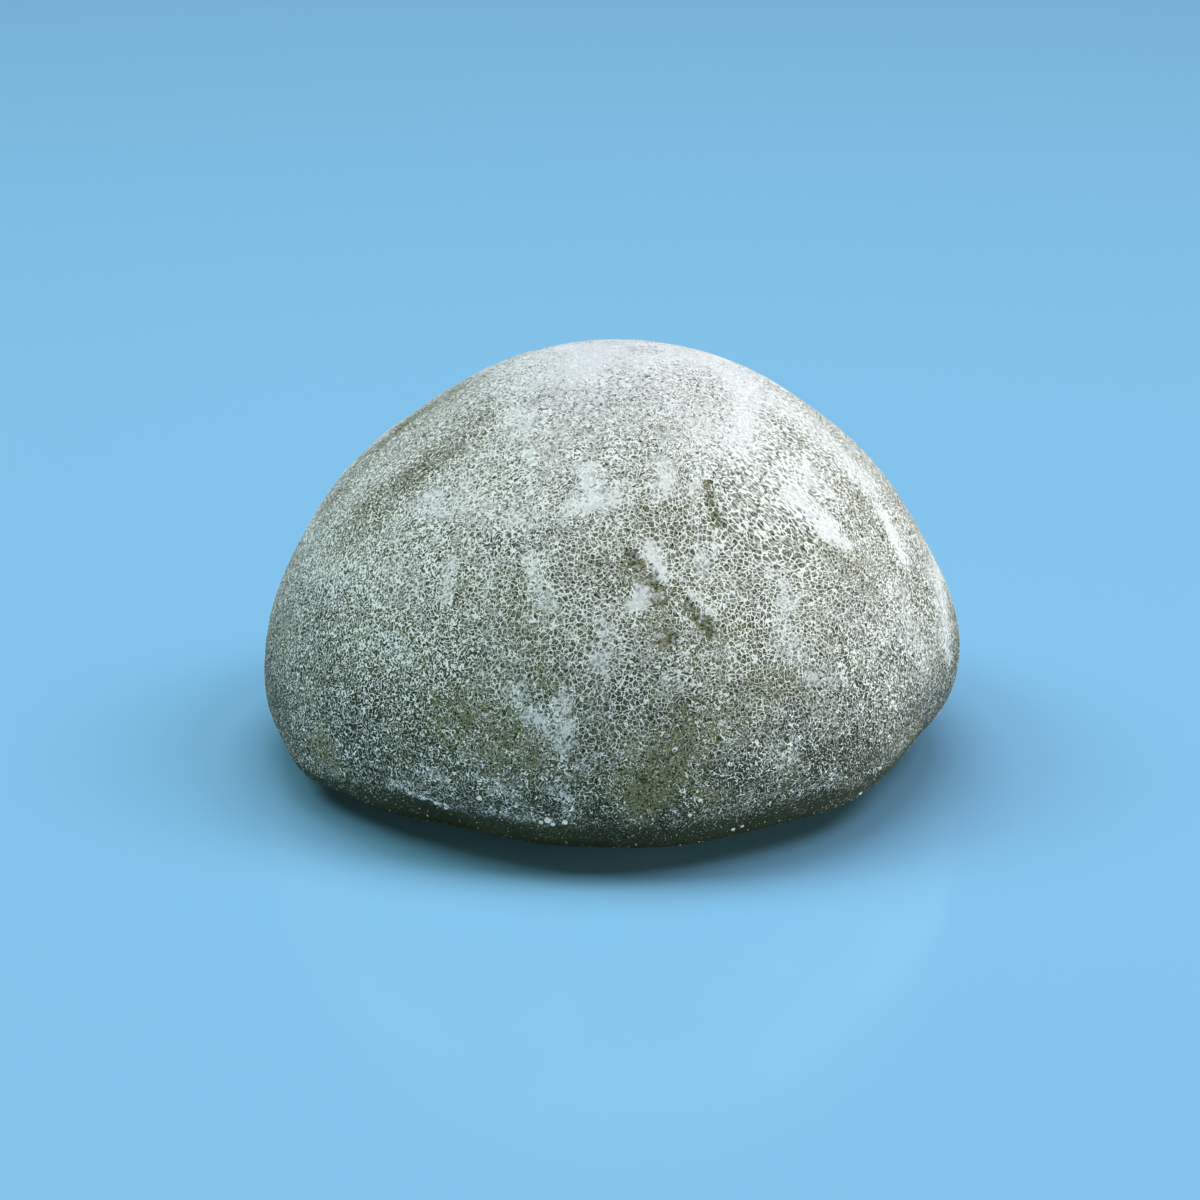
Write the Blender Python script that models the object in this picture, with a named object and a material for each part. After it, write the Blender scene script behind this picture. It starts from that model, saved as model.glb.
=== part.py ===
"""A filled rice-dough sweet: one soft, uncut dome that rests on a small flat face.

The dough sags under its own weight. So the dome is widest low down, rolls under to a foot that is
narrower than the waist, and lies flat in the middle of its underside. Fingers left shallow dents.
Metres, +Z up, with the origin on the surface it rests on, under the middle of its outline.
"""

import math

import bmesh
import bpy
import numpy as np
from mathutils import Vector, noise

# Driving dimensions
WIDTH = 0.054
HEIGHT = 0.0321
WAIST_HEIGHT = 0.0073
REST_RADIUS = 0.0181

# How the right-hand side differs from the left: the waist is higher there and the foot is cut in more.
# The front is a little fuller than the rest.
WAIST_TILT = 0.0012
REST_SHIFT = -0.0015
CROWN_LEAN = 0.0002
SHOULDER_TILT = -0.035
FRONT_FULLNESS = 0.12

# Powers of the two superellipse arcs. 2 is a plain ellipse, less is leaner and more is fuller.
SHOULDER_POWER = 1.757
FOOT_POWER = 2.308

# Mesh: quads along each side of the cube that is blown up into the dome, and points along each arc
CELLS = 28
ARC_POINTS = 60

# Low waves over the whole skin
LUMP_SIZE = 0.0125
LUMP_DEPTH = 0.00022
LUMP_SEED = Vector((3.1, 7.7, 1.9))
FOOT_FADE = 0.0022

# Soft bulges (+) and dents (-). Each has its turn round the dome from the right-hand side, its rise
# above the waist's middle, its reach as an angle, all in degrees, and its height in metres.
BULGES = {
    "right_front_chamfer": (-21, -9, 11, -0.00062),
    "left_front_lift": (-119, -17, 9, -0.00150),
    "left_front_roll": (-139, -16, 7, 0.00025),
    "front_left_lip": (-103, -17, 7, 0.00012),
    "left_foot_roll": (-152, -12, 8, 0.00078),
    "front_lip": (-80, -15, 13, 0.00068),
    "right_foot_roll": (-46, -14, 11, 0.00047),
    "back_foot_roll": (64, -13, 14, 0.00035),
    "back_left_lift": (131, -14, 12, -0.00040),
    "crown_flat": (110, 68, 12, -0.00018),
    "right_shoulder": (36, 61, 10, 0.00020),
    "left_shoulder_flat": (158, 52, 13, -0.00032),
    "left_flank": (168, 30, 11, 0.00011),
    "right_flank_flat": (7, 21, 12, -0.00048),
    "left_waist": (176, 7, 8, 0.00018),
    "back_flank_flat": (96, 33, 17, -0.00032),
}

# Long shallow grooves where a finger slid: start and end as turn and rise, half width, and depth
GROOVES = {
    "left_shoulder": ((-152, 61), (-171, 37), 5.0, -0.00022),
    "front_middle": ((-84, 40), (-62, 27), 4.0, -0.00014),
    "right_front": ((-48, 50), (-25, 28), 4.5, -0.00016),
    "back_right": ((52, 50), (34, 26), 5.5, -0.00020),
    "back_left": ((104, 57), (128, 33), 5.0, -0.00018),
}


def clear_scene():
    """Empties the file of whatever it opened with."""
    for old in list(bpy.data.objects):
        bpy.data.objects.remove(old, do_unlink=True)


def blown_cube():
    """A cube whose faces are cut into an even grid, blown up to a sphere of radius 1."""
    mesh = bmesh.new()
    bmesh.ops.create_cube(mesh, size=2.0)
    bmesh.ops.subdivide_edges(mesh, edges=mesh.edges[:], cuts=CELLS - 1, use_grid_fill=True)
    quarter_turn = math.pi / 4
    for vertex in mesh.verts:
        # The tangent spreads the grid evenly over the sphere, which plain scaling would not
        spread = [math.tan(share * quarter_turn) for share in vertex.co]
        vertex.co = Vector(spread).normalized()
    return mesh


def meridians(azimuth):
    """Radius and height along the outline, from the crown to the middle of the underside.

    One row for each azimuth, because the waist and the foot change from side to side.
    """
    side = np.cos(azimuth)[:, None]
    waist = WAIST_HEIGHT + WAIST_TILT * side
    rest = REST_RADIUS + REST_SHIFT * side
    front = np.clip(-np.sin(azimuth), 0.0, 1.0)[:, None] ** 2
    shoulder = 2.0 / (SHOULDER_POWER + SHOULDER_TILT * side + FRONT_FULLNESS * front)
    foot = 2.0 / FOOT_POWER
    half_width = WIDTH / 2
    down = np.linspace(math.pi / 2, 0.0, ARC_POINTS)[None, :]
    dome_radius = half_width * np.cos(down) ** shoulder
    dome_height = waist + (HEIGHT - waist) * np.sin(down) ** shoulder
    under = down[:, ::-1][:, 1:]
    foot_radius = rest + (half_width - rest) * np.cos(under) ** foot
    foot_height = waist * (1.0 - np.sin(under) ** foot)
    flat_radius = rest * np.linspace(1.0, 0.0, ARC_POINTS // 3)[None, 1:]
    flat_height = np.zeros_like(flat_radius)
    radius = np.concatenate([dome_radius, foot_radius, flat_radius], axis=1)
    height = np.concatenate([dome_height, foot_height, flat_height], axis=1)
    return radius, height


def settle_on_outline(mesh):
    """Moves each point of the unit sphere to its place on the dome, evenly along the outline."""
    points = np.array([vertex.co for vertex in mesh.verts])
    azimuth = np.arctan2(points[:, 1], points[:, 0])
    down_share = np.arccos(np.clip(points[:, 2], -1.0, 1.0)) / math.pi
    radius, height = meridians(azimuth)
    steps = np.hypot(np.diff(radius, axis=1), np.diff(height, axis=1))
    along = np.concatenate([np.zeros((len(points), 1)), np.cumsum(steps, axis=1)], axis=1)
    for index, vertex in enumerate(mesh.verts):
        wanted = down_share[index] * along[index, -1]
        reach = float(np.interp(wanted, along[index], radius[index]))
        level = float(np.interp(wanted, along[index], height[index]))
        lean = CROWN_LEAN * (level / HEIGHT) ** 2
        vertex.co = (
            reach * math.cos(azimuth[index]) + lean,
            reach * math.sin(azimuth[index]),
            level,
        )


def direction(turn, rise):
    """The unit vector at these angles, in degrees."""
    turn, rise = math.radians(turn), math.radians(rise)
    return Vector((math.cos(turn) * math.cos(rise), math.sin(turn) * math.cos(rise), math.sin(rise)))


def hump(angle, reach):
    """1 in the middle of a soft bulge, and almost 0 at twice its reach."""
    return math.exp(-((angle / reach) ** 2))


def groove_angle(towards, start, end):
    """How far, in degrees, a direction is from the great-circle stretch between two others."""
    across = end - start
    share = max(0.0, min(1.0, (towards - start).dot(across) / across.length_squared))
    return math.degrees(towards.angle(start + share * across))


def unevenness(place):
    """How far the skin stands out from the plain outline at this point, in metres."""
    towards = (place - Vector((0.0, 0.0, WAIST_HEIGHT))).normalized()
    height = LUMP_DEPTH * noise.noise(place / LUMP_SIZE + LUMP_SEED)
    for turn, rise, reach, size in BULGES.values():
        height += size * hump(math.degrees(towards.angle(direction(turn, rise))), reach)
    for start, end, reach, depth in GROOVES.values():
        height += depth * hump(groove_angle(towards, direction(*start), direction(*end)), reach)
    return height * min(1.0, place.z / FOOT_FADE)


def press_in(mesh):
    """Adds the lumps, bulges and grooves, and keeps the resting face flat."""
    mesh.normal_update()
    moves = [(vertex, vertex.normal * unevenness(vertex.co)) for vertex in mesh.verts]
    for vertex, move in moves:
        vertex.co += move
        vertex.co.z = max(vertex.co.z, 0.0)


def centre_over_origin(mesh):
    """Puts the middle of the outline, seen from above, over the origin."""
    points = np.array([vertex.co for vertex in mesh.verts])
    middle = (points.min(axis=0) + points.max(axis=0)) / 2
    bmesh.ops.translate(mesh, verts=mesh.verts[:], vec=(-middle[0], -middle[1], 0.0))


def dough_material():
    """Grey-green tea dough under a pale film of starch."""
    material = bpy.data.materials.new("tea_dough")
    material.use_nodes = True
    shader = material.node_tree.nodes["Principled BSDF"]
    shader.inputs["Base Color"].default_value = (0.33, 0.37, 0.30, 1.0)
    shader.inputs["Roughness"].default_value = 0.85
    shader.inputs["Metallic"].default_value = 0.0
    return material


def make_mochi():
    """The whole sweet, as one closed solid."""
    mesh = blown_cube()
    settle_on_outline(mesh)
    press_in(mesh)
    centre_over_origin(mesh)
    data = bpy.data.meshes.new("mochi")
    mesh.to_mesh(data)
    mesh.free()
    data.shade_smooth()
    data.materials.append(dough_material())
    mochi = bpy.data.objects.new("mochi", data)
    bpy.context.scene.collection.objects.link(mochi)
    return mochi


clear_scene()
make_mochi()
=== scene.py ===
"""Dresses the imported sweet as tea-coloured rice dough under a broken film of white starch.

The skin is one closed mesh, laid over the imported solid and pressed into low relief. Starch lies on it as
a fine net, which the skin's material draws, and as loose grains and clumps, which are meshes.
Lengths are in metres unless a name says otherwise. Pixels are the photograph's, 1200 on a side.
"""

import logging
import math
from dataclasses import dataclass
from enum import Enum

import bmesh
import bpy
import numpy as np
from mathutils import Euler, Matrix, Vector, noise
from mathutils.bvhtree import BVHTree


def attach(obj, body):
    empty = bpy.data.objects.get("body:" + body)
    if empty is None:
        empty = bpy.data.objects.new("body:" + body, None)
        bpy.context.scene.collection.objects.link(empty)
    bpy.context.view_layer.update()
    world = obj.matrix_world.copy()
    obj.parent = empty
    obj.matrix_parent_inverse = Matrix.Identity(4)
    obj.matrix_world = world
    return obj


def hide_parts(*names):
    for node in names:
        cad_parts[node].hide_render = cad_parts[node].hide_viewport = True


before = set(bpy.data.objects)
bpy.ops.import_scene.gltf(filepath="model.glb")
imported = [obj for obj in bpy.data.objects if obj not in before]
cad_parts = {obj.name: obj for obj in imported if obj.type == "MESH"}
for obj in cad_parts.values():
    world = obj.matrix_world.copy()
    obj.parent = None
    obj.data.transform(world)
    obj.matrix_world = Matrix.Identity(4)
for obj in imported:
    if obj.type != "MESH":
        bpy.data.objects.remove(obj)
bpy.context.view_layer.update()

Feed = bpy.types.NodeSocket | float | tuple[float, ...]
Pixel = tuple[float, float]

MM = 0.001
NODE = "mochi"
BODY = "root"
SEED = 41

log = logging.getLogger("sweet")


class Mark(Enum):
    """What a stroke leaves on the skin: change of starch, relief in mm, mesh size, olive staining and veil.
    """

    STARCH = (0.30, 0.020, 0.0, 0.0, 2.0)
    PACKED = (0.50, 0.070, 0.0, 0.0, 1.6)
    OLIVE = (-0.30, -0.010, 0.0, 2.4, -0.4)
    BARE = (-0.35, -0.015, 0.0, 0.5, -0.9)
    PIT = (-0.55, -0.080, 0.0, 1.4, 0.25)
    CREASE = (-0.40, -0.080, 0.0, 0.6, -1.0)
    OPEN_NET = (0.0, 0.0, 1.0, 0.0, 0.0)
    FINE_NET = (0.0, 0.0, -1.0, 0.0, 0.0)

    @property
    def starch(self) -> float:
        """Change of the starch's cover at strength 1."""
        return self.value[0]

    @property
    def relief(self) -> float:
        """Rise of the skin at strength 1, in metres."""
        return self.value[1] * MM

    @property
    def meshes(self) -> float:
        """Change of the net's mesh size at strength 1."""
        return self.value[2]

    @property
    def olive_share(self) -> float:
        """How much more olive the dough is at strength 1."""
        return self.value[3]

    @property
    def veil(self) -> float:
        """Change, at strength 1, of the thin film that pales the dough between the net's lines."""
        return self.value[4]

    @property
    def steepness(self) -> int:
        """How it fades from its line: 2 like a bell, 4 with a flat middle and a crisper edge."""
        return 4 if self in (Mark.PIT, Mark.CREASE) else 2


@dataclass(frozen=True)
class Stroke:
    """A soft-edged mark on the skin, between two places seen in the photograph."""

    mark: Mark
    start: Pixel
    end: Pixel
    reach_mm: float
    strength: float


STROKES = (
    # Crown
    Stroke(Mark.STARCH, (578, 374), (606, 350), 1.2, 0.26),
    Stroke(Mark.STARCH, (632, 362), (712, 356), 1.4, 0.16),
    Stroke(Mark.STARCH, (520, 360), (575, 350), 1.4, 0.12),
    Stroke(Mark.BARE, (650, 384), (690, 398), 1.6, 0.10),
    Stroke(Mark.BARE, (640, 405), (668, 452), 1.6, 0.16),
    Stroke(Mark.OLIVE, (560, 392), (600, 436), 2.2, 0.10),
    # Right shoulder
    Stroke(Mark.STARCH, (742, 376), (747, 424), 1.2, 0.27),
    Stroke(Mark.STARCH, (745, 424), (738, 450), 0.9, 0.20),
    Stroke(Mark.STARCH, (790, 408), (860, 470), 2.2, 0.28),
    Stroke(Mark.STARCH, (700, 430), (790, 480), 3.0, 0.12),
    Stroke(Mark.STARCH, (796, 492), (822, 520), 1.2, 0.36),
    Stroke(Mark.STARCH, (806, 468), (836, 500), 1.3, 0.26),
    Stroke(Mark.STARCH, (820, 524), (846, 548), 0.8, 0.42),
    Stroke(Mark.PACKED, (828, 530), (850, 548), 0.45, 0.30),
    Stroke(Mark.STARCH, (884, 512), (904, 562), 0.75, 0.34),
    Stroke(Mark.PACKED, (887, 518), (902, 556), 0.42, 0.35),
    Stroke(Mark.BARE, (858, 500), (880, 534), 0.7, 0.22),
    Stroke(Mark.STARCH, (850, 470), (905, 540), 1.6, 0.18),
    Stroke(Mark.STARCH, (934, 560), (948, 650), 1.8, 0.40),
    Stroke(Mark.STARCH, (900, 600), (925, 660), 2.6, 0.24),
    Stroke(Mark.STARCH, (880, 660), (900, 740), 3.0, 0.12),
    # Upper left
    Stroke(Mark.OLIVE, (474, 422), (425, 468), 2.4, 0.72),
    Stroke(Mark.OLIVE, (425, 468), (345, 526), 2.0, 0.60),
    Stroke(Mark.STARCH, (410, 505), (450, 508), 1.2, 0.20),
    Stroke(Mark.STARCH, (440, 470), (436, 500), 0.9, 0.14),
    Stroke(Mark.STARCH, (470, 480), (484, 512), 0.9, 0.16),
    Stroke(Mark.STARCH, (505, 522), (530, 512), 1.0, 0.16),
    Stroke(Mark.STARCH, (512, 412), (522, 430), 0.9, 0.16),
    Stroke(Mark.PACKED, (528, 453), (533, 463), 0.36, 0.50),
    # The smear across the middle, and the dark line below it
    Stroke(Mark.STARCH, (576, 506), (616, 500), 1.0, 0.36),
    Stroke(Mark.STARCH, (590, 472), (594, 496), 0.8, 0.36),
    Stroke(Mark.STARCH, (663, 462), (660, 488), 0.8, 0.28),
    Stroke(Mark.STARCH, (690, 492), (702, 476), 0.7, 0.28),
    Stroke(Mark.BARE, (570, 520), (690, 508), 0.7, 0.16),
    Stroke(Mark.OLIVE, (640, 520), (690, 530), 1.4, 0.30),
    Stroke(Mark.CREASE, (706, 484), (718, 524), 0.42, 0.95),
    Stroke(Mark.BARE, (722, 528), (748, 534), 0.8, 0.14),
    # Round hollows in the middle, each with a rim of starch
    Stroke(Mark.OLIVE, (600, 568), (640, 580), 1.3, 0.50),
    Stroke(Mark.OLIVE, (650, 560), (720, 640), 2.4, 0.26),
    Stroke(Mark.PIT, (631, 556), (638, 562), 0.58, 0.95),
    Stroke(Mark.PIT, (651, 583), (656, 598), 0.70, 0.95),
    Stroke(Mark.PIT, (688, 605), (693, 608), 0.46, 0.80),
    Stroke(Mark.PIT, (705, 622), (708, 632), 0.74, 0.95),
    Stroke(Mark.PIT, (664, 636), (669, 644), 0.62, 0.95),
    Stroke(Mark.STARCH, (652, 548), (662, 574), 0.55, 0.60),
    Stroke(Mark.STARCH, (640, 588), (637, 606), 0.65, 0.60),
    Stroke(Mark.PACKED, (690, 590), (716, 616), 0.28, 0.50),
    Stroke(Mark.STARCH, (700, 566), (712, 542), 0.7, 0.20),
    Stroke(Mark.STARCH, (602, 626), (606, 662), 1.0, 0.24),
    Stroke(Mark.STARCH, (606, 662), (640, 650), 0.9, 0.14),
    Stroke(Mark.STARCH, (674, 676), (692, 666), 0.9, 0.22),
    # Left of the middle
    Stroke(Mark.STARCH, (530, 560), (546, 600), 0.8, 0.30),
    Stroke(Mark.STARCH, (452, 562), (447, 602), 0.5, 0.32),
    Stroke(Mark.STARCH, (384, 570), (404, 640), 3.2, 0.09),
    Stroke(Mark.STARCH, (322, 548), (340, 584), 1.4, 0.10),
    Stroke(Mark.STARCH, (484, 560), (488, 590), 0.7, 0.12),
    Stroke(Mark.BARE, (470, 566), (462, 596), 0.7, 0.20),
    Stroke(Mark.OLIVE, (512, 596), (522, 640), 1.2, 0.30),
    Stroke(Mark.STARCH, (512, 690), (532, 714), 0.8, 0.28),
    Stroke(Mark.STARCH, (540, 716), (562, 752), 0.7, 0.36),
    Stroke(Mark.STARCH, (562, 700), (567, 730), 0.7, 0.40),
    Stroke(Mark.PIT, (540, 672), (544, 684), 0.34, 0.45),
    Stroke(Mark.PIT, (556, 690), (560, 700), 0.30, 0.40),
    Stroke(Mark.OLIVE, (455, 712), (512, 742), 1.8, 0.62),
    Stroke(Mark.OLIVE, (322, 745), (334, 764), 1.2, 0.40),
    Stroke(Mark.BARE, (280, 580), (270, 700), 2.2, 0.12),
    Stroke(Mark.BARE, (276, 700), (296, 750), 1.8, 0.14),
    # Right of the middle
    Stroke(Mark.BARE, (806, 542), (846, 562), 1.2, 0.18),
    Stroke(Mark.BARE, (846, 562), (872, 590), 1.2, 0.12),
    Stroke(Mark.BARE, (908, 568), (922, 596), 1.0, 0.14),
    Stroke(Mark.STARCH, (768, 566), (792, 604), 0.6, 0.24),
    Stroke(Mark.STARCH, (782, 614), (797, 652), 1.2, 0.26),
    Stroke(Mark.STARCH, (830, 600), (870, 650), 2.4, 0.09),
    Stroke(Mark.PACKED, (730, 650), (742, 674), 0.36, 0.26),
    Stroke(Mark.STARCH, (815, 682), (840, 680), 1.1, 0.20),
    Stroke(Mark.OLIVE, (742, 692), (792, 682), 1.1, 0.50),
    Stroke(Mark.CREASE, (824, 630), (856, 668), 0.30, 0.22),
    Stroke(Mark.STARCH, (735, 746), (765, 738), 0.9, 0.06),
    Stroke(Mark.STARCH, (772, 766), (790, 754), 1.0, 0.20),
    Stroke(Mark.STARCH, (800, 730), (850, 712), 1.6, 0.09),
    Stroke(Mark.STARCH, (815, 788), (832, 776), 0.9, 0.16),
    # Low on the front
    Stroke(Mark.OLIVE, (680, 744), (646, 788), 2.0, 0.58),
    Stroke(Mark.BARE, (618, 786), (652, 800), 1.8, 0.14),
    Stroke(Mark.STARCH, (580, 776), (606, 760), 1.1, 0.12),
    Stroke(Mark.STARCH, (420, 772), (440, 778), 1.0, 0.24),
    Stroke(Mark.PACKED, (388, 782), (450, 806), 0.60, 0.38),
    Stroke(Mark.PACKED, (450, 807), (520, 816), 0.55, 0.22),
    Stroke(Mark.STARCH, (480, 782), (516, 796), 1.1, 0.24),
    Stroke(Mark.STARCH, (556, 796), (568, 806), 1.0, 0.28),
    Stroke(Mark.PACKED, (530, 817), (570, 822), 0.50, 0.20),
    # Where the net's meshes are larger or finer than elsewhere
    Stroke(Mark.OPEN_NET, (780, 552), (845, 592), 2.6, 0.60),
    Stroke(Mark.OPEN_NET, (700, 560), (770, 640), 4.0, 0.36),
    Stroke(Mark.OPEN_NET, (540, 610), (600, 710), 3.2, 0.50),
    Stroke(Mark.FINE_NET, (300, 560), (380, 740), 6.0, 0.35),
    Stroke(Mark.FINE_NET, (880, 640), (860, 760), 4.0, 0.20),
    Stroke(Mark.FINE_NET, (730, 420), (850, 500), 4.5, 0.45),
)


@dataclass(frozen=True)
class PhotoCamera:
    """The photograph's camera, as its view of the sweet and of the sweet's mirror image gives it."""

    distance: float = 0.378
    elevation: float = 22.0
    focal_px: float = 4826.0
    frame_px: float = 1200.0
    origin_px: Pixel = (612.3, 740.3)
    sensor_mm: float = 36.0
    nearest: float = 0.01

    @property
    def place(self) -> Vector:
        """Where the camera stands."""
        rise = math.radians(self.elevation)
        return Vector((0.0, -math.cos(rise), math.sin(rise))) * self.distance

    @property
    def turn(self) -> Euler:
        """How the camera is turned, so that the origin falls on its own pixel.

        Returns:
            The turns about the three axes.
        """
        middle = self.frame_px / 2
        up = math.atan((self.origin_px[1] - middle) / self.focal_px)
        left = math.atan((self.origin_px[0] - middle) / self.focal_px)
        return Euler((math.radians(90.0 - self.elevation) + up, 0.0, left))

    def ray(self, pixel: Pixel) -> Vector:
        """The direction in which the camera sees a pixel.

        Args:
            pixel: Column and row in the photograph.

        Returns:
            A unit vector that starts at the camera.
        """
        middle = self.frame_px / 2
        across = (pixel[0] - middle) / self.focal_px
        down = (pixel[1] - middle) / self.focal_px
        return (self.turn.to_matrix() @ Vector((across, -down, -1.0))).normalized()

    def trace(self, start: Pixel, end: Pixel, surface: BVHTree, steps: int = 5) -> np.ndarray:
        """Lays a straight line of the photograph on a surface.

        Args:
            start: The line's first pixel.
            end: The line's last pixel.
            surface: What the line is laid on.
            steps: How many places along the line are looked up.

        Returns:
            The places that were met, one a row.
        """
        met = []
        for share in np.linspace(0.0, 1.0, steps):
            pixel = (start[0] + share * (end[0] - start[0]), start[1] + share * (end[1] - start[1]))
            place = surface.ray_cast(self.place, self.ray(pixel))[0]
            if place is not None:
                met.append(place)
        return np.array(met)

    def make(self) -> None:
        """Adds the camera to the scene and looks through it."""
        data = bpy.data.cameras.new("photo_camera")
        data.sensor_width = self.sensor_mm
        data.lens = self.focal_px / self.frame_px * self.sensor_mm
        data.clip_start = self.nearest
        camera = bpy.data.objects.new("photo_camera", data)
        camera.location = self.place
        camera.rotation_euler = self.turn
        bpy.context.scene.collection.objects.link(camera)
        bpy.context.scene.camera = camera


class Graph:
    """A material's nodes, each wired as it is added."""

    # How strong each finer layer of a noise is beside the layer before it
    layering: float = 0.55

    def __init__(self, name: str) -> None:
        """Starts a material with its shader alone.

        Args:
            name: The material's name.
        """
        self.material = bpy.data.materials.new(name)
        self.material.use_nodes = True
        self.tree = self.material.node_tree
        self.shader = self.tree.nodes["Principled BSDF"]

    def feed(self, socket: bpy.types.NodeSocket, value: Feed) -> None:
        """Sets a socket, or wires another one to it.

        Args:
            socket: The socket.
            value: A number, a colour or another node's socket.
        """
        if isinstance(value, bpy.types.NodeSocket):
            self.tree.links.new(value, socket)
        else:
            socket.default_value = value

    def add(self, kind: str, feeds: dict[str | int, Feed], **settings: object) -> bpy.types.Node:
        """Adds a node.

        Args:
            kind: The node's type, without the words all shader nodes start with.
            feeds: What goes into its sockets, by name or number.
            **settings: Its other properties.

        Returns:
            The new node.
        """
        node = self.tree.nodes.new("ShaderNode" + kind)
        for name, value in settings.items():
            setattr(node, name, value)
        for key, value in feeds.items():
            self.feed(node.inputs[key], value)
        return node

    def sum_up(self, operation: str, *terms: Feed) -> bpy.types.NodeSocket:
        """Adds a step of arithmetic and gives its result."""
        return self.add("Math", dict(enumerate(terms)), operation=operation).outputs[0]

    def noise(self, place: Feed, size_mm: float, detail: float = 2.0) -> bpy.types.NodeSocket:
        """Adds soft noise.

        Args:
            place: Where it is read.
            size_mm: Rough size of its lumps.
            detail: How many finer layers it has.

        Returns:
            The noise, from 0 to 1.
        """
        feeds = {"Vector": place, "Scale": 1.0 / (size_mm * MM), "Detail": detail, "Roughness": self.layering}
        return self.add("TexNoise", feeds).outputs["Fac"]

    def swing(self, place: Feed, size_mm: float, detail: float = 2.0) -> bpy.types.NodeSocket:
        """Adds soft noise, moved down so that it swings about 0."""
        return self.sum_up("SUBTRACT", self.noise(place, size_mm, detail), 0.5)

    def ease(
        self, value: Feed, low: Feed, high: Feed, to: tuple[Feed, Feed] = (0.0, 1.0)
    ) -> bpy.types.NodeSocket:
        """Adds a smooth step from low to high.

        Args:
            value: What is eased.
            low: Where the step begins.
            high: Where it ends.
            to: The results at low and at high.

        Returns:
            The eased value.
        """
        feeds = {"Value": value, "From Min": low, "From Max": high, "To Min": to[0], "To Max": to[1]}
        step = self.add("MapRange", feeds, interpolation_type="SMOOTHSTEP", clamp=True)
        return step.outputs["Result"]

    def blend(self, share: Feed, first: Feed, second: Feed) -> bpy.types.NodeSocket:
        """Adds a mix of two colours, which is all second where share is 1."""
        node = self.add("Mix", {0: share, 6: first, 7: second}, data_type="RGBA")
        return node.outputs[2]

    def field(self, name: str) -> bpy.types.NodeSocket:
        """Reads one of the mesh's own fields."""
        return self.add("Attribute", {}, attribute_name=name).outputs["Fac"]


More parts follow.
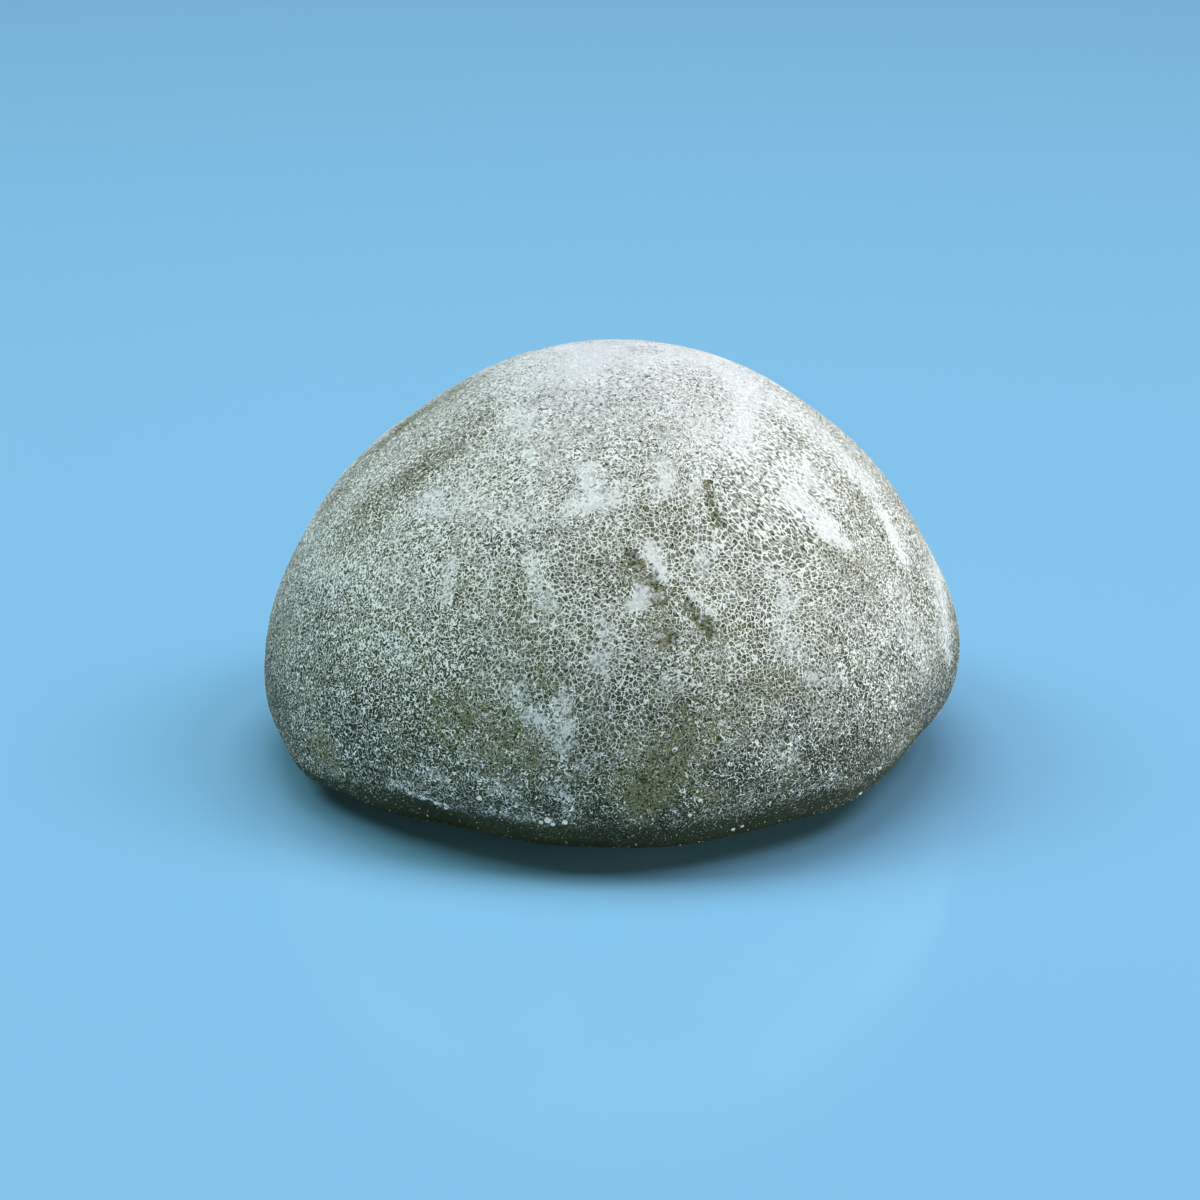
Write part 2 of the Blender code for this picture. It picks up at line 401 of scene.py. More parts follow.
@dataclass(frozen=True)
class DustedDough:
    """Tea-coloured dough that shows through a net of dried starch."""

    # The dark dough is what shows facing down, partly painted shade; the olive is the tone of real stains
    # and, facing up, painted light
    dough: tuple[float, ...] = (0.032, 0.042, 0.020, 1.0)
    olive: tuple[float, ...] = (0.175, 0.182, 0.088, 1.0)
    # shade is painted shade: the dark of the hollows between the net's lines, laid by noise
    shade: tuple[float, ...] = (0.010, 0.018, 0.010, 1.0)
    film: tuple[float, ...] = (0.77, 0.785, 0.86, 1.0)
    starch: tuple[float, ...] = (0.92, 0.94, 0.945, 1.0)
    bare_roughness: float = 0.75
    starch_roughness: float = 0.95
    specular: float = 0.25

    # Each wave of the cover: its size in mm, its finer layers and how much it adds
    cover_waves: tuple[tuple[float, float, float], ...] = ((1.1, 3.0, 0.38), (0.16, 2.0, 0.85))

    # Each bend of the net's lines, from coarse to fine: its size and its reach
    bends_mm: tuple[tuple[float, float], ...] = ((1.8, 0.70), (0.5, 0.22), (0.14, 0.15))

    # Fine meshes are threads, larger ones are cells with walls
    thread_mm: float = 0.26
    thread_detail: float = 0.0
    thread_reach: float = 0.16
    thread_soft: float = 0.006
    thread_share: float = 0.18
    middle_mm: float = 0.38
    open_mm: float = 0.50
    wall_soft: float = 0.008
    wall_share: float = 0.85
    widest_wall: float = 0.48
    sizing_mm: float = 1.6
    sizing_swing: float = 0.9
    middle_step: tuple[float, float] = (0.55, 0.75)
    open_step: tuple[float, float] = (1.00, 1.20)

    # Where a finger slid over the right shoulder and drew the net out
    slide_centre: tuple[float, ...] = (0.0123, -0.0120, 0.0248)
    slide_way: tuple[float, ...] = (0.685, -0.250, -0.685)
    slide_near_mm: float = 4.0
    slide_far_mm: float = 11.0
    slide_stretch: float = 0.5

    # Dots of starch inside the meshes
    speck_mm: float = 0.10
    speck_edges: tuple[float, float] = (0.74, 0.50)
    speck_soft: float = 0.05
    speck_strength: float = 0.5

    # Olive stains, which also stand for painted light facing up, dark hollows of painted shade, and the hazy
    # film
    stain_mm: float = 3.0
    olive_step: tuple[float, float] = (0.35, 1.15)
    shade_hollow_mm: float = 0.17
    shade_hollow_step: tuple[float, float] = (0.40, 0.54)
    cloud_mm: float = 0.35
    cloud_swing: float = 2.8
    thickest_film: float = 0.95

    # Bumps too fine for the mesh
    relief_mm: float = 0.090
    relief_strength: float = 0.8
    grit_mm: float = 0.12
    grit_share: float = 0.5

    def cells(self, graph: Graph, place: Feed, cell_mm: float, wall: Feed) -> bpy.types.NodeSocket:
        """Draws starch along the walls of cells.

        Args:
            graph: The material.
            place: Where the cells are read.
            cell_mm: Rough size of a cell.
            wall: Half the walls' thickness, as a share of a cell.

        Returns:
            1 on starch and 0 on dough.
        """
        feeds = {"Vector": place, "Scale": 1.0 / (cell_mm * MM), "Randomness": 1.0}
        cells = graph.add("TexVoronoi", feeds, feature="DISTANCE_TO_EDGE")
        inner = graph.sum_up("ADD", wall, self.wall_soft)
        outer = graph.sum_up("SUBTRACT", wall, self.wall_soft)
        return graph.ease(cells.outputs["Distance"], outer, inner, (1.0, 0.0))

    def threads(self, graph: Graph, level: Feed, cover: Feed) -> bpy.types.NodeSocket:
        """Draws starch along the level lines of a noise, as loose wiggly threads.

        Args:
            graph: The material.
            level: How far the noise is from the level that is drawn.
            cover: Share of the skin that the threads take up.

        Returns:
            1 on starch and 0 on dough.
        """
        reach = graph.sum_up("MULTIPLY", cover, self.thread_reach)
        outer = graph.sum_up("ADD", reach, self.thread_soft)
        inner = graph.sum_up("SUBTRACT", reach, self.thread_soft)
        return graph.ease(level, inner, outer, (1.0, 0.0))

    def wall(self, graph: Graph, cover: Feed) -> bpy.types.NodeSocket:
        """Works out how thick the walls are for a given share of starch.

        Args:
            graph: The material.
            cover: Share of the skin to be white.

        Returns:
            Half the walls' thickness, as a share of a cell.
        """
        left_open = graph.sum_up("MAXIMUM", graph.sum_up("SUBTRACT", 1.0, cover), 0.0)
        inward = graph.sum_up("SUBTRACT", 1.0, graph.sum_up("POWER", left_open, 1.0 / 3.0))
        return graph.sum_up("MULTIPLY", inward, self.widest_wall)

    def bend(self, graph: Graph, place: Feed, size_mm: float, reach_mm: float) -> bpy.types.NodeSocket:
        """Bends straight lines of a pattern.

        Args:
            graph: The material.
            place: Where the pattern would be read.
            size_mm: Rough size of the bends.
            reach_mm: How far they reach.

        Returns:
            Where the pattern is read instead.
        """
        stir = graph.add("TexNoise", {"Vector": place, "Scale": 1.0 / (size_mm * MM), "Detail": 2.0})
        off = graph.add("VectorMath", {0: stir.outputs["Color"], 1: (0.5, 0.5, 0.5)}, operation="SUBTRACT")
        feeds = {0: off.outputs[0], 1: (reach_mm * MM,) * 3, 2: place}
        return graph.add("VectorMath", feeds, operation="MULTIPLY_ADD").outputs[0]

    def slide(self, graph: Graph, place: Feed) -> bpy.types.NodeSocket:
        """Draws the pattern out along the way a finger slid over the right shoulder.

        Args:
            graph: The material.
            place: Where the pattern would be read.

        Returns:
            Where the pattern is read instead.
        """
        off = graph.add("VectorMath", {0: place, 1: self.slide_centre}, operation="SUBTRACT").outputs[0]
        away = graph.add("VectorMath", {0: off}, operation="LENGTH").outputs["Value"]
        along = graph.add("VectorMath", {0: off, 1: self.slide_way}, operation="DOT_PRODUCT").outputs["Value"]
        near, far = self.slide_near_mm * MM, self.slide_far_mm * MM
        share = graph.ease(away, near, far, (-self.slide_stretch, 0.0))
        step = {0: self.slide_way, "Scale": graph.sum_up("MULTIPLY", along, share)}
        back = graph.add("VectorMath", step, operation="SCALE").outputs[0]
        return graph.add("VectorMath", {0: place, 1: back}, operation="ADD").outputs[0]

    def cover(self, graph: Graph, place: Feed) -> bpy.types.NodeSocket:
        """Works out the starch's share of the skin, with patches and ragged edges.

        Args:
            graph: The material.
            place: Where on the sweet.

        Returns:
            The share, which may fall below 0 and rise above 1.
        """
        cover = graph.field("cover")
        for size_mm, detail, swing in self.cover_waves:
            cover = graph.sum_up("MULTIPLY_ADD", graph.swing(place, size_mm, detail), swing, cover)
        return cover

    def net(self, graph: Graph, place: Feed, cover: Feed) -> bpy.types.NodeSocket:
        """Draws the net: fine threads, or cells of a middle or a large size.

        Args:
            graph: The material.
            place: Where on the sweet.
            cover: Share of the skin that starch takes up.

        Returns:
            1 on starch and 0 on dough.
        """
        moved = self.slide(graph, place)
        for size_mm, reach_mm in self.bends_mm:
            moved = self.bend(graph, moved, size_mm, reach_mm)
        lines = graph.sum_up("ABSOLUTE", graph.swing(moved, self.thread_mm, self.thread_detail))
        fine = self.threads(graph, lines, cover)
        thin = self.threads(graph, lines, graph.sum_up("MULTIPLY", cover, self.thread_share))
        wall = self.wall(graph, graph.sum_up("MULTIPLY", cover, self.wall_share))
        middle = graph.sum_up("MAXIMUM", self.cells(graph, moved, self.middle_mm, wall), thin)
        wide = graph.sum_up("MAXIMUM", self.cells(graph, moved, self.open_mm, wall), thin)
        meshes = graph.field("meshes")
        sizing = graph.sum_up("MULTIPLY_ADD", graph.noise(place, self.sizing_mm), self.sizing_swing, meshes)
        to_middle = graph.ease(sizing, *self.middle_step)
        to_wide = graph.ease(sizing, *self.open_step)
        net = graph.add("Mix", {0: to_middle, 2: fine, 3: middle}, data_type="FLOAT").outputs[0]
        return graph.add("Mix", {0: to_wide, 2: net, 3: wide}, data_type="FLOAT").outputs[0]

    def specks(self, graph: Graph, place: Feed, cover: Feed) -> bpy.types.NodeSocket:
        """Draws faint dots, more of them where there is more starch.

        Args:
            graph: The material.
            place: Where on the sweet.
            cover: Share of the skin that starch takes up.

        Returns:
            How white the dots are, and 0 between them.
        """
        edge = graph.ease(cover, 0.0, 1.0, self.speck_edges)
        outer = graph.sum_up("ADD", edge, self.speck_soft)
        dots = graph.ease(graph.noise(place, self.speck_mm, detail=1.0), edge, outer)
        return graph.sum_up("MULTIPLY", dots, self.speck_strength)

    def base(self, graph: Graph, place: Feed) -> bpy.types.NodeSocket:
        """Colours what lies between the net's lines: dough, olive stains with painted light facing up, dark
        hollows of painted shade, and the film.

        Args:
            graph: The material.
            place: Where on the sweet.

        Returns:
            The colour.
        """
        # The olive share brings real stains and painted light facing up; where it is low, the dark dough
        # shows as painted shade
        olive_share = graph.sum_up("ADD", graph.field("olive_share"), graph.noise(place, self.stain_mm))
        dough = graph.blend(graph.ease(olive_share, *self.olive_step), self.dough, self.olive)
        # Dark hollows of painted shade between the net's lines
        painted_hollow_shade = graph.ease(graph.noise(place, self.shade_hollow_mm, detail=1.0), *self.shade_hollow_step, (1.0, 0.0))
        dough = graph.blend(painted_hollow_shade, dough, self.shade)
        cloudy = graph.swing(place, self.cloud_mm, detail=3.0)
        haze = graph.sum_up("MULTIPLY_ADD", cloudy, self.cloud_swing, graph.field("veil"))
        return graph.blend(graph.ease(haze, 0.0, 1.0, (0.0, self.thickest_film)), dough, self.film)

    def make(self) -> bpy.types.Material:
        """Builds the material.

        Returns:
            The finished material.
        """
        graph = Graph("dusted_dough")
        place = graph.add("TexCoord", {}).outputs["Object"]
        cover = self.cover(graph, place)
        net = self.net(graph, place, cover)
        white = graph.sum_up("MAXIMUM", net, self.specks(graph, place, cover))
        colour = graph.blend(white, self.base(graph, place), self.starch)
        graph.feed(graph.shader.inputs["Base Color"], colour)
        roughness = graph.ease(white, 0.0, 1.0, (self.bare_roughness, self.starch_roughness))
        graph.feed(graph.shader.inputs["Roughness"], roughness)
        graph.shader.inputs["Specular IOR Level"].default_value = self.specular

        height = graph.sum_up("MULTIPLY_ADD", graph.noise(place, self.grit_mm), self.grit_share, white)
        depth = self.relief_mm * MM
        bump = graph.add("Bump", {"Height": height, "Strength": self.relief_strength, "Distance": depth})
        graph.feed(graph.shader.inputs["Normal"], bump.outputs["Normal"])
        return graph.material


@dataclass
class DoughSkin:
    """The sweet's outer skin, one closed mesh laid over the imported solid."""

    camera: PhotoCamera
    cells: int = 32
    refinements: int = 2
    joining_gap: float = 0.001 * MM
    heart_height: float = 10.0 * MM
    underside_squeeze: float = 0.55
    chart_halves: tuple[float, float] = (0.492, 0.488)

    def solid_surface(self) -> BVHTree:
        """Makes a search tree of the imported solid, with its loose triangles joined.

        Returns:
            The tree.
        """
        shell = bmesh.new()
        shell.from_mesh(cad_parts[NODE].data)
        bmesh.ops.remove_doubles(shell, verts=shell.verts[:], dist=self.joining_gap)
        tree = BVHTree.FromBMesh(shell)
        shell.free()
        return tree

    def gridded_cube(self) -> bmesh.types.BMesh:
        """Cuts a cube's sides into an even grid, and gives each side its own part of a map.

        Returns:
            The cube, from -1 to 1 each way.
        """
        cube = bmesh.new()
        bmesh.ops.create_cube(cube, size=2.0)
        bmesh.ops.subdivide_edges(cube, edges=cube.edges[:], cuts=self.cells - 1, use_grid_fill=True)
        layer = cube.loops.layers.uv.new("OFBake")
        cube.normal_update()
        half_width, half_height = self.chart_halves
        for face in cube.faces:
            column, row, across, up = self.chart(face.normal)
            for loop in face.loops:
                u = 0.5 + half_width * loop.vert.co.dot(across)
                v = 0.5 + half_height * loop.vert.co.dot(up)
                loop[layer].uv = ((column + u) / 2, (row + v) / 3)
        return cube

    def chart(self, normal: Vector) -> tuple[int, int, Vector, Vector]:
        """Says where on the map one side of the cube goes.

        Args:
            normal: Which way the side faces.

        Returns:
            Its column and row, and the directions that run across and up its part.
        """
        axis = max(range(3), key=lambda index: abs(normal[index]))
        ahead = normal[axis] > 0
        up = Vector((0.0, 1.0, 0.0)) if axis == 2 else Vector((0.0, 0.0, 1.0))
        facing = Vector((0.0, 0.0, 0.0))
        facing[axis] = 1.0 if ahead else -1.0
        return int(ahead), axis, up.cross(facing), up

    def lay_over(self, cube: bmesh.types.BMesh, surface: BVHTree) -> None:
        """Blows the cube up until it meets the solid from inside.

        Args:
            cube: The gridded cube, which is changed.
            surface: The solid.
        """
        heart = Vector((0.0, 0.0, self.heart_height))
        for vertex in cube.verts:
            # The tangent spreads the grid evenly over the sphere, which plain scaling would not
            towards = Vector([math.tan(share * math.pi / 4) for share in vertex.co])
            if towards.z < 0.0:
                towards.z *= self.underside_squeeze
            vertex.co = surface.ray_cast(heart, towards.normalized())[0]

    def refined(self, cube: bmesh.types.BMesh) -> bpy.types.Mesh:
        """Smooths the cube's coarse grid into a fine one.

        Args:
            cube: The grid, laid over the solid. It is freed.

        Returns:
            The fine mesh.
        """
        coarse = bpy.data.meshes.new("coarse_skin")
        cube.to_mesh(coarse)
        cube.free()
        carrier = bpy.data.objects.new("coarse_skin", coarse)
        bpy.context.scene.collection.objects.link(carrier)
        smooth = carrier.modifiers.new("smooth", "SUBSURF")
        smooth.levels = smooth.render_levels = self.refinements
        depsgraph = bpy.context.evaluated_depsgraph_get()
        fine = bpy.data.meshes.new_from_object(carrier.evaluated_get(depsgraph))
        bpy.data.objects.remove(carrier, do_unlink=True)
        bpy.data.meshes.remove(coarse)
        fine.name = "dough_skin"
        return fine

    def make(self) -> bpy.types.Object:
        """Builds the skin, presses its relief in and dresses it.

        Returns:
            The skin's object.
        """
        surface = self.solid_surface()
        cube = self.gridded_cube()
        self.lay_over(cube, surface)
        mesh = self.refined(cube)
        Relief(mesh, self.camera).press()
        mesh.shade_smooth()
        mesh.materials.append(DustedDough().make())
        skin = bpy.data.objects.new("dough_skin", mesh)
        bpy.context.scene.collection.objects.link(skin)
        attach(skin, BODY)
        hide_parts(NODE)
        return skin


@dataclass
class Relief:
    """Works out the starch's cover and the low relief at each point of the skin."""

    mesh: bpy.types.Mesh
    camera: PhotoCamera

    # Ways the skin faces, from down (-1) through sideways (0) to up (1), and what each of them brings: its
    # share of starch, how thick the film is and how olive the dough is. The olive and film tables paint light
    # on the skin facing up and shade facing down, and the starch share is partly real and partly painted
    # shade facing down
    tilts: tuple[float, ...] = (-1.0, -0.5, -0.3, 0.0, 0.2, 0.4, 0.6, 0.8, 1.0)
    # Less starch facing down: partly the real dust, partly painted shade on the underside
    dusting_and_underside_shade: tuple[float, ...] = (-0.12, -0.02, 0.15, 0.20, 0.30, 0.41, 0.50, 0.55, 0.47)
    # More film facing up and less facing down: partly the real film, partly painted light and shade
    film_and_painted_top_light: tuple[float, ...] = (-0.5, -0.4, -0.3, -0.25, -0.15, -0.05, 0.02, 0.14, 0.72)
    # More olive facing up: painted light, a lighter olive over the dark dough
    olive_painted_top_light: tuple[float, ...] = (-0.1, -0.1, 0.0, 0.05, 0.15, 0.30, 0.40, 0.45, 0.45)
    base_meshes: float = 0.15

    # Waves over the whole skin: the size of each in mm, its seed and its height
    seed_steps: tuple[float, ...] = (7.31, 3.17, 5.93)
    cover_waves: tuple[tuple[float, int, float], ...] = ((7.0, 3, 0.05), (2.6, 4, 0.05))
    mesh_wave: tuple[float, int, float] = (5.0, 5, 0.15)
    stain_wave: tuple[float, int, float] = (4.0, 6, 0.30)
    veil_wave: tuple[float, int, float] = (3.1, 7, 0.12)
    peel: tuple[tuple[float, int, float], ...] = ((3.2, 32, 0.045), (1.3, 13, 0.018))

    # How ragged the marks are: sizes and reaches of the waves that shift their edges, and the mark's own
    # reach from which the shift is whole
    fray_mm: tuple[tuple[float, float], ...] = ((2.4, 0.9), (1.0, 0.8), (0.5, 0.6))
    fray_seeds: tuple[int, ...] = (11, 12, 13)
    full_fray_mm: float = 1.4

    foot_fade_mm: float = 2.0
    echo_turn: float = 24.0

    def __post_init__(self) -> None:
        """Reads the skin."""
        self.places = self.read("co")
        self.normals = self.read("normal")
        self.fray = np.zeros_like(self.places)
        for size_mm, reach_mm in self.fray_mm:
            self.fray += np.stack([self.wave(size_mm, seed, reach_mm * MM) for seed in self.fray_seeds], 1)
        shell = bmesh.new()
        shell.from_mesh(self.mesh)
        self.surface = BVHTree.FromBMesh(shell)
        shell.free()

    def read(self, name: str) -> np.ndarray:
        """Copies one vector of each vertex.

        Args:
            name: What Blender calls the vector.

        Returns:
            The vectors, one a row.
        """
        values = np.empty(len(self.mesh.vertices) * 3)
        self.mesh.vertices.foreach_get(name, values)
        return values.reshape(-1, 3)

    def wave(self, size_mm: float, seed: int, height: float) -> np.ndarray:
        """Samples smooth noise.

        Args:
            size_mm: Rough size of its lumps.
            seed: Picks one of many patterns.
            height: How far it swings each way.

        Returns:
            The noise at each vertex.
        """
        shift = Vector([seed * step for step in self.seed_steps])
        scale = 1.0 / (size_mm * MM)
        return height * np.array([noise.noise(Vector(place) * scale + shift) for place in self.places])

    def away_from(self, line: np.ndarray, reach_mm: float) -> np.ndarray:
        """Measures how far each vertex is from a line, with a ragged error that grows with the reach.

        Args:
            line: The line's corners, one a row.
            reach_mm: How far a mark along the line reaches.

        Returns:
            A distance for each vertex.
        """
        places = self.places + self.fray * min(1.0, reach_mm / self.full_fray_mm)
        nearest = np.full(len(places), np.inf)
        for start, end in zip(line[:-1], line[1:]):
            along = end - start
            length = max(float(along @ along), 1e-12)
            share = np.clip((places - start) @ along / length, 0.0, 1.0)
            gap = np.linalg.norm(places - start - share[:, None] * along, axis=1)
            nearest = np.minimum(nearest, gap)
        return nearest

    def by_tilt(self, table: tuple[float, ...]) -> np.ndarray:
        """Looks up a table by the way each vertex faces."""
        return np.interp(self.normals[:, 2], self.tilts, table)

    def press(self) -> None:
        """Moves the skin's vertices and stores the fields that its material reads."""
        # Less starch facing down is partly real and partly painted shade on the underside
        cover = self.by_tilt(self.dusting_and_underside_shade) + sum(self.wave(*wave) for wave in self.cover_waves)
        meshes = self.base_meshes + self.wave(*self.mesh_wave)
        # The olive share facing up is painted light, laid over real olive stains from waves and strokes
        olive_share = self.by_tilt(self.olive_painted_top_light) + self.wave(*self.stain_wave)
        # More film facing up and less facing down is partly real film and partly painted light and shade
        veil = self.by_tilt(self.film_and_painted_top_light) + self.wave(*self.veil_wave)
        lift = sum(self.wave(size_mm, seed, depth_mm * MM) for size_mm, seed, depth_mm in self.peel)
        for stroke in STROKES:
            line = self.camera.trace(stroke.start, stroke.end, self.surface)
            for path in (line, self.echo(line)):
                away = self.away_from(path, stroke.reach_mm) / (stroke.reach_mm * MM)
                share = stroke.strength * np.exp(-(away ** stroke.mark.steepness))
                cover += stroke.mark.starch * share
                meshes += stroke.mark.meshes * share
                olive_share += stroke.mark.olive_share * share
                veil += stroke.mark.veil * share
                lift += stroke.mark.relief * share
        lift *= np.clip(self.places[:, 2] / (self.foot_fade_mm * MM), 0.0, 1.0)
        moved = self.places + self.normals * lift[:, None]
        moved[:, 2] = np.maximum(moved[:, 2], 0.0)
        self.mesh.vertices.foreach_set("co", moved.ravel())
        self.store("cover", cover)
        self.store("meshes", meshes)
        self.store("olive_share", olive_share)
        self.store("veil", veil)
        self.mesh.update()

    def echo(self, line: np.ndarray) -> np.ndarray:
        """Gives the far side, which the photograph hides, a like mark.

        Args:
            line: A mark on the near side.

        Returns:
            The mark, mirrored to the far side and turned a little.
        """
        turn = Matrix.Rotation(math.radians(self.echo_turn), 3, "Z")
        return np.array([turn @ Vector((place[0], -place[1], place[2])) for place in line])

    def store(self, name: str, values: np.ndarray) -> None:
        """Keeps a number for each vertex as a field of the mesh."""
        layer = self.mesh.attributes.new(name, "FLOAT", "POINT")
        layer.data.foreach_set("value", values.astype(np.float32))


@dataclass
class StarchGrains:
    """Loose grains of starch that cling to the skin, more of them where it is dusted and low down."""

    starch: bpy.types.Material
    count: int = 9400
    smallest_mm: float = 0.030
    largest_mm: float = 0.056
    small_bias: float = 2.5
    stretch: tuple[float, float] = (0.7, 1.3)
    scatter_mm: float = 0.11

    # How far a grain's middle lies above the skin, as a share of its size
    rise: float = 0.15

    # Grains begin just above the foot, are thickest where the band is full, and thin out above it
    band_start_mm: float = 0.4
    band_rise_mm: float = 3.0
    band_full_mm: float = 11.0
    thinnest: float = 0.25
    bare_share: float = 0.25
    fullest_cover: float = 0.7

    def template(self) -> tuple[np.ndarray, np.ndarray]:
        """Makes one grain.

        Returns:
            Its corners, 1 from the middle, and the corners of each of its faces.
        """
        grain = bmesh.new()
        bmesh.ops.create_icosphere(grain, subdivisions=1, radius=1.0)
        corners = np.array([vertex.co for vertex in grain.verts])
        faces = np.array([[vertex.index for vertex in face.verts] for face in grain.faces])
        grain.free()
        return corners, faces

    def chances(self, cover: np.ndarray, height: np.ndarray) -> np.ndarray:
        """Says how likely a grain is to lie at each vertex of the skin.

        Args:
            cover: The starch's cover at each vertex.
            height: How high each vertex lies, in metres.

        Returns:
            The chances, which add up to 1.
        """
        above = np.clip((height - self.band_start_mm * MM) / (self.band_rise_mm * MM), 0.0, 1.0)
        below = np.clip(2.0 - height / (self.band_full_mm * MM), self.thinnest, 1.0)
        chance = above * below * (self.bare_share + np.clip(cover, 0.0, self.fullest_cover))
        return chance / chance.sum()

    def make(self, skin: bpy.types.Object) -> bpy.types.Object:
        """Scatters the grains over the skin.

        Args:
            skin: What they lie on.

        Returns:
            The grains' object.
        """
        chance = np.random.default_rng(SEED)
        vertices = skin.data.vertices
        places = np.empty(len(vertices) * 3)
        normals = np.empty(len(vertices) * 3)
        cover = np.empty(len(vertices))
        vertices.foreach_get("co", places)
        vertices.foreach_get("normal", normals)
        skin.data.attributes["cover"].data.foreach_get("value", cover)
        places, normals = places.reshape(-1, 3), normals.reshape(-1, 3)
        picked = chance.choice(len(vertices), self.count, p=self.chances(cover, places[:, 2]))
        up = normals[picked]
        aside = chance.normal(0.0, self.scatter_mm * MM, (self.count, 3))
        aside -= (aside * up).sum(1)[:, None] * up
        growth = chance.random(self.count) ** self.small_bias
        size = (self.smallest_mm + (self.largest_mm - self.smallest_mm) * growth) * MM
        middles = places[picked] + aside + up * (size * self.rise)[:, None]
        corners, faces = self.template()
        stretch = chance.uniform(*self.stretch, (self.count, 1, 3))
        turns = np.linalg.qr(chance.normal(size=(self.count, 3, 3)))[0]
        turns *= np.sign(np.linalg.det(turns))[:, None, None]
        shapes = (corners[None] * stretch * size[:, None, None]) @ turns + middles[:, None, :]
        faces = faces[None] + len(corners) * np.arange(self.count)[:, None, None]
        mesh = bpy.data.meshes.new("starch_grains")
        mesh.from_pydata(shapes.reshape(-1, 3).tolist(), [], faces.reshape(-1, 3).tolist())
        mesh.materials.append(self.starch)
        grains = bpy.data.objects.new("starch_grains", mesh)
        bpy.context.scene.collection.objects.link(grains)
        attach(grains, BODY)
        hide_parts(NODE)
        return grains


@dataclass(frozen=True)
class Clump:
    """A lump of caked starch, at a place seen in the photograph."""

    pixel: Pixel
    size_mm: float


CLUMPS = (
    Clump((480, 798), 0.20),
    Clump((548, 820), 0.26),
    Clump((553, 824), 0.18),
    Clump((541, 822), 0.16),
    Clump((565, 822), 0.22),
    Clump((700, 800), 0.16),
    Clump((690, 815), 0.15),
    Clump((733, 829), 0.16),
    Clump((742, 826), 0.14),
    Clump((860, 793), 0.16),
    Clump((880, 768), 0.15),
    Clump((530, 455), 0.24),
    Clump((532, 461), 0.20),
    Clump((436, 803), 0.16),
    Clump((424, 798), 0.14),
    Clump((410, 793), 0.15),
    Clump((446, 808), 0.15),
    Clump((516, 806), 0.14),
    Clump((340, 745), 0.13),
    Clump((372, 700), 0.13),
    Clump((423, 735), 0.13),
    Clump((890, 522), 0.17),
    Clump((899, 546), 0.18),
    Clump((842, 544), 0.17),
    Clump((712, 612), 0.15),
    Clump((706, 606), 0.13),
    Clump((657, 568), 0.15),
)


@dataclass
class StarchClumps:
    """Lumps of caked starch."""

    camera: PhotoCamera
    starch: bpy.types.Material
    rounding: int = 3
    flattened: float = 0.65

    # How far a clump's middle lies above the skin, as a share of its size
    rise: float = 0.01

    # Its bumps, coarse and fine: how close together they are and how high, as shares of its size
    bumps: tuple[tuple[float, float], ...] = ((1.6, 0.35), (4.2, 0.175))
    seed_steps: tuple[float, ...] = (3.7, 1.9, 5.3)

    def make(self, skin: bpy.types.Object) -> bpy.types.Object:
        """Puts each clump on the skin, where the photograph shows it, and one like it on the far side.

        Args:
            skin: What they lie on.

        Returns:
            The clumps' object.
        """
        shell = bmesh.new()
        shell.from_mesh(skin.data)
        surface = BVHTree.FromBMesh(shell)
        shell.free()
        joined = bmesh.new()
        for number, clump in enumerate(CLUMPS):
            seen = Vector(self.camera.trace(clump.pixel, clump.pixel, surface, 1)[0])
            for side, place in enumerate((seen, Vector((-seen.x, -seen.y, seen.z)))):
                foot, up = surface.find_nearest(place)[:2]
                self.add(joined, foot, up, clump.size_mm * MM, 2 * number + side)
        mesh = bpy.data.meshes.new("starch_clumps")
        joined.to_mesh(mesh)
        joined.free()
        mesh.materials.append(self.starch)
        clumps = bpy.data.objects.new("starch_clumps", mesh)
        bpy.context.scene.collection.objects.link(clumps)
        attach(clumps, BODY)
        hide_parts(NODE)
        return clumps

    def add(self, joined: bmesh.types.BMesh, foot: Vector, up: Vector, size: float, number: int) -> None:
        """Adds one clump.

        Args:
            joined: All the clumps.
            foot: Where it lies.
            up: Which way the skin faces there.
            size: Its rough radius in metres.
            number: Makes each one different.
        """
        fresh = bmesh.ops.create_icosphere(joined, subdivisions=self.rounding, radius=1.0)["verts"]
        shift = Vector([number * step for step in self.seed_steps])
        turn = up.to_track_quat("Z", "Y").to_matrix()
        for vertex in fresh:
            swell = 1.0
            for closeness, height in self.bumps:
                swell += height * noise.noise(vertex.co * closeness + shift)
            shape = vertex.co * swell
            shape.z = shape.z * self.flattened + self.rise
            vertex.co = foot + turn @ (shape * size)


@dataclass(frozen=True)
class DryStarch:
    """Matt white starch, mottled at random with grey that stands for painted shade in its hollows."""

    white: tuple[float, ...] = (0.90, 0.92, 0.92, 1.0)
    # The grey is painted shade for the starch's hollows, laid as random mottle
    grey: tuple[float, ...] = (0.62, 0.66, 0.65, 1.0)
    mottle_mm: float = 0.10
    mottle_step: tuple[float, float] = (0.35, 0.60)
    grey_roughness: float = 0.98
    white_roughness: float = 0.90
    specular: float = 0.30
    grit_mm: float = 0.05
    grit_strength: float = 0.6
    grit_depth_mm: float = 0.012

    def make(self) -> bpy.types.Material:
        """Builds the material.

        Returns:
            The finished material.
        """
        graph = Graph("dry_starch")
        place = graph.add("TexCoord", {}).outputs["Object"]
        mottle = graph.ease(graph.noise(place, self.mottle_mm), *self.mottle_step)
        graph.feed(graph.shader.inputs["Base Color"], graph.blend(mottle, self.grey, self.white))
        roughness = graph.ease(mottle, 0.0, 1.0, (self.grey_roughness, self.white_roughness))
        graph.feed(graph.shader.inputs["Roughness"], roughness)
        graph.shader.inputs["Specular IOR Level"].default_value = self.specular
        grit, depth = graph.noise(place, self.grit_mm), self.grit_depth_mm * MM
        bump = graph.add("Bump", {"Height": grit, "Strength": self.grit_strength, "Distance": depth})
        graph.feed(graph.shader.inputs["Normal"], bump.outputs["Normal"])
        return graph.material


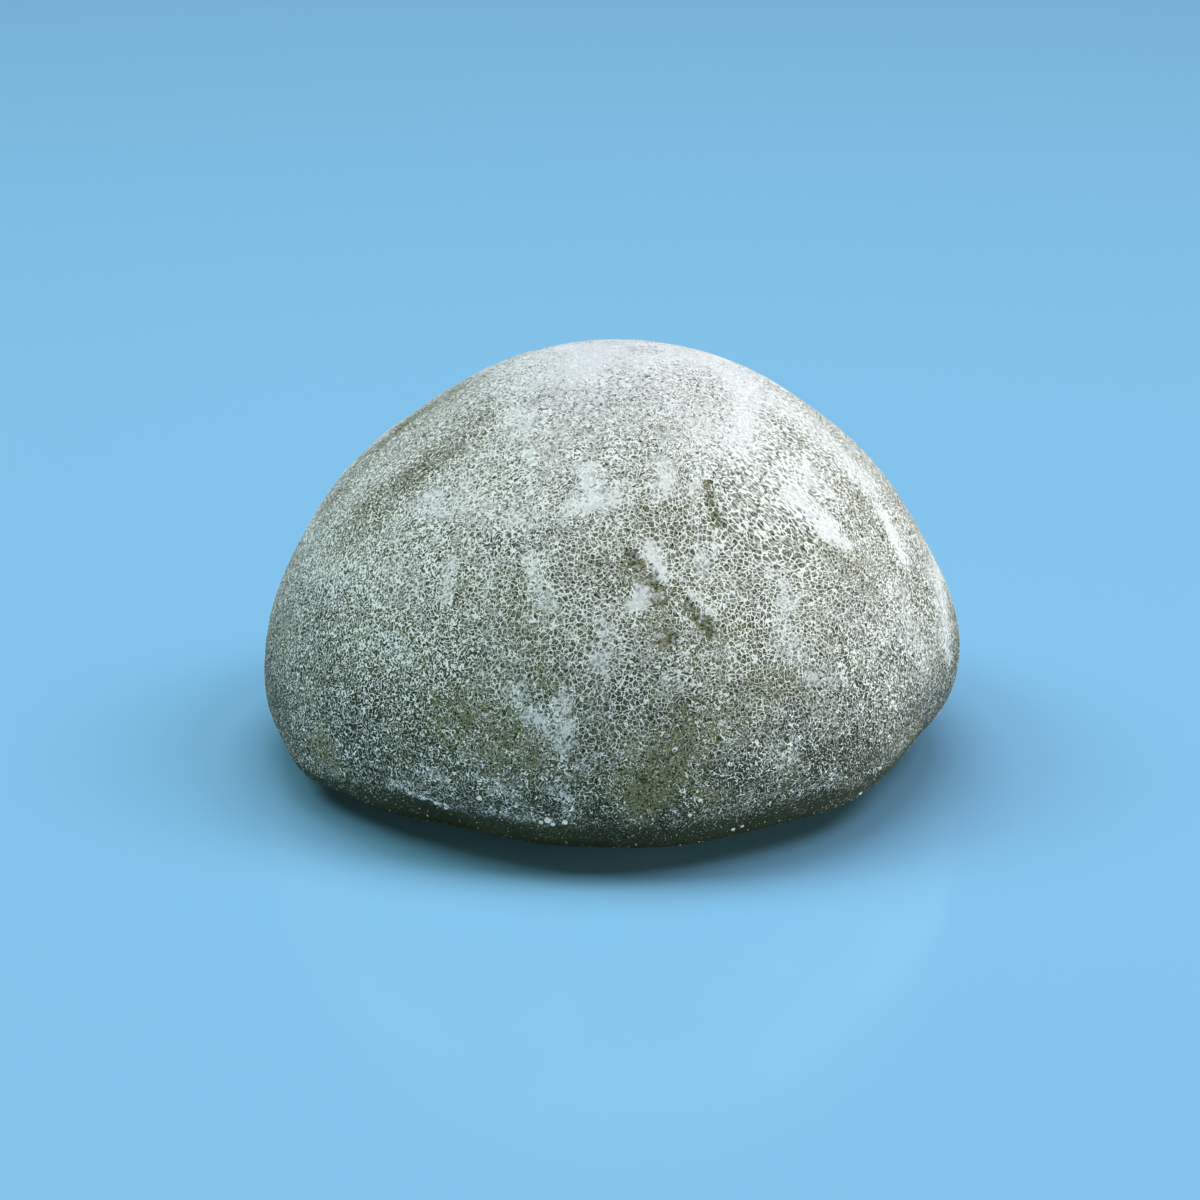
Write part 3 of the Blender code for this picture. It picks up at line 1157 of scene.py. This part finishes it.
@dataclass(frozen=True)
class Softbox:
    """A soft rectangular studio light that points at the sweet."""

    name: str
    place: tuple[float, float, float]
    width: float
    height: float
    watts: float
    colour: tuple[float, float, float]
    aim: tuple[float, float, float] = (0.0, 0.0, 0.010)

    def make(self) -> None:
        """Adds the light to the scene."""
        data = bpy.data.lights.new(self.name, "AREA")
        data.shape = "RECTANGLE"
        data.size = self.width
        data.size_y = self.height
        data.energy = self.watts
        data.color = self.colour
        light = bpy.data.objects.new(self.name, data)
        light.location = self.place
        light.rotation_euler = (Vector(self.aim) - light.location).to_track_quat("-Z", "Y").to_euler()
        bpy.context.scene.collection.objects.link(light)


@dataclass(frozen=True)
class Studio:
    """The plain pale floor and the lights."""

    floor_size: float = 4.0
    floor_colour: tuple[float, ...] = (0.275, 0.61, 0.92, 1.0)
    floor_roughness: float = 0.16
    floor_ior: float = 1.35
    air_colour: tuple[float, ...] = (0.85, 0.95, 1.0, 1.0)
    air_strength: float = 0.012
    high_colour: tuple[float, ...] = (0.93, 0.96, 1.0)
    right_colour: tuple[float, ...] = (0.95, 0.94, 1.0)
    low_right_colour: tuple[float, ...] = (1.0, 0.98, 0.77)
    low_left_colour: tuple[float, ...] = (0.84, 1.0, 0.76)
    left_colour: tuple[float, ...] = (0.78, 1.0, 0.94)

    def make(self) -> None:
        """Builds the floor, the lights and the air's own light."""
        self.make_floor()
        self.make_air()
        for lamp in (
            Softbox("top_light", (0.0, 0.17, 0.62), 0.50, 0.30, 2.45, self.high_colour),
            Softbox("upper_left_light", (-0.42, 0.10, 0.55), 0.30, 0.30, 1.50, self.left_colour),
            Softbox("upper_right_light", (0.42, 0.03, 0.55), 0.30, 0.30, 1.66, self.right_colour),
            Softbox("front_left_card", (-0.40, -0.60, 0.035), 0.60, 0.06, 1.35, self.low_left_colour),
            Softbox("front_right_card", (0.40, -0.60, 0.035), 0.60, 0.06, 1.25, self.low_right_colour),
            Softbox("right_card", (0.75, 0.0, 0.035), 0.50, 0.06, 3.2, self.low_right_colour),
            Softbox("left_card", (-0.75, -0.10, 0.035), 0.50, 0.06, 0.6, self.low_left_colour),
        ):
            lamp.make()
        bpy.context.scene.view_settings.view_transform = "Standard"

    def make_floor(self) -> None:
        """Lays a smooth floor that mirrors the sweet faintly."""
        sheet = bmesh.new()
        bmesh.ops.create_grid(sheet, x_segments=1, y_segments=1, size=self.floor_size / 2)
        mesh = bpy.data.meshes.new("floor")
        sheet.to_mesh(mesh)
        sheet.free()
        graph = Graph("pale_floor")
        graph.shader.inputs["Base Color"].default_value = self.floor_colour
        graph.shader.inputs["Roughness"].default_value = self.floor_roughness
        graph.shader.inputs["IOR"].default_value = self.floor_ior
        mesh.materials.append(graph.material)
        floor = bpy.data.objects.new("floor", mesh)
        bpy.context.scene.collection.objects.link(floor)

    def make_air(self) -> None:
        """Lights the scene softly from all round."""
        world = bpy.data.worlds.new("studio_air")
        world.use_nodes = True
        background = world.node_tree.nodes["Background"]
        background.inputs["Color"].default_value = self.air_colour
        background.inputs["Strength"].default_value = self.air_strength
        bpy.context.scene.world = world


def main() -> None:
    """Builds the sweet and its studio, and reports each piece."""
    logging.basicConfig(level=logging.INFO, format="%(name)s: %(message)s")
    camera = PhotoCamera()
    camera.make()
    skin = DoughSkin(camera).make()
    starch = DryStarch().make()
    grains = StarchGrains(starch).make(skin)
    clumps = StarchClumps(camera, starch).make(skin)
    for piece in (skin, grains, clumps):
        log.info("%s has %d faces", piece.name, len(piece.data.polygons))
    Studio().make()


if __name__ == "__main__":
    main()
